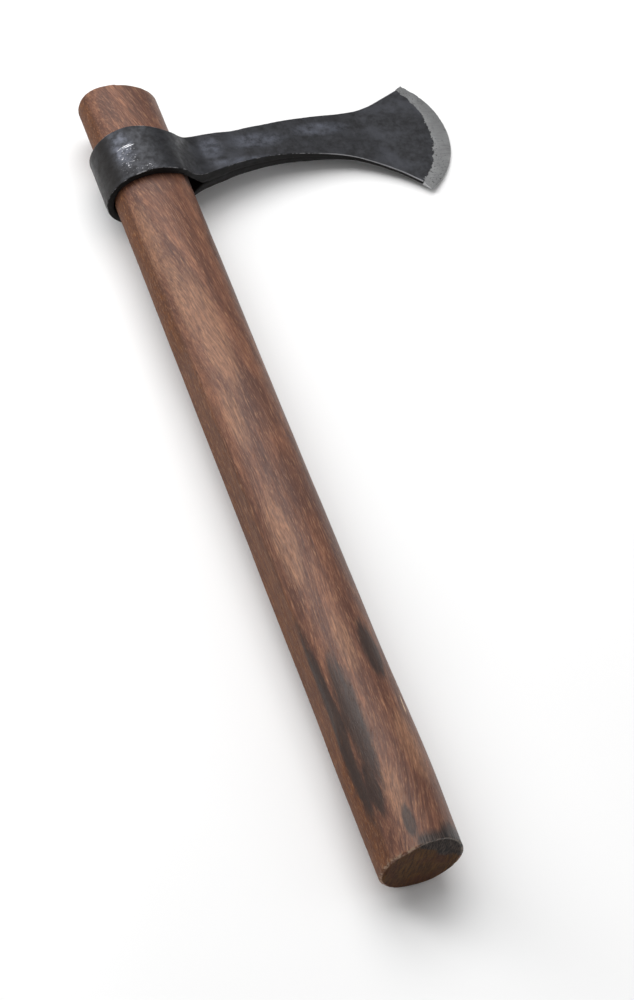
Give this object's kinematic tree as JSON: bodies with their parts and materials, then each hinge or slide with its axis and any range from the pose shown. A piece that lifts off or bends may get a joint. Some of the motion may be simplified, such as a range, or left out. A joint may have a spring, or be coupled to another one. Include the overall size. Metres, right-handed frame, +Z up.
{
  "type": "hand axe",
  "caption": "Hand-forged axe with a wrapped-eye iron head, flared ground edge and a straight shaved hardwood haft, lying on its side.",
  "frame": {"origin": "centre of the bounding box's base, on the ground that the axe lies on", "axes": "+Z up; +Y along the haft towards its top end; +X towards the cutting edge, whose middle rests on the ground"},
  "size_m": [0.1744, 0.4086, 0.0426],
  "materials": {
    "haft_wood": "oiled, hand-shaved dark hardwood",
    "forged_iron": "black forge scale, rubbed bright on high spots",
    "ground_steel": "coarse hand-ground bevel",
    "wedge_wood": "plain sawn hardwood",
    "wedge_iron": "rough forged iron"
  },
  "bodies": {
    "root": {"haft": "haft_wood", "head_strap": "forged_iron", "steel_bit": "ground_steel", "wood_wedge": "wedge_wood", "iron_cross_wedge": "wedge_iron"}
  },
  "joints": []
}
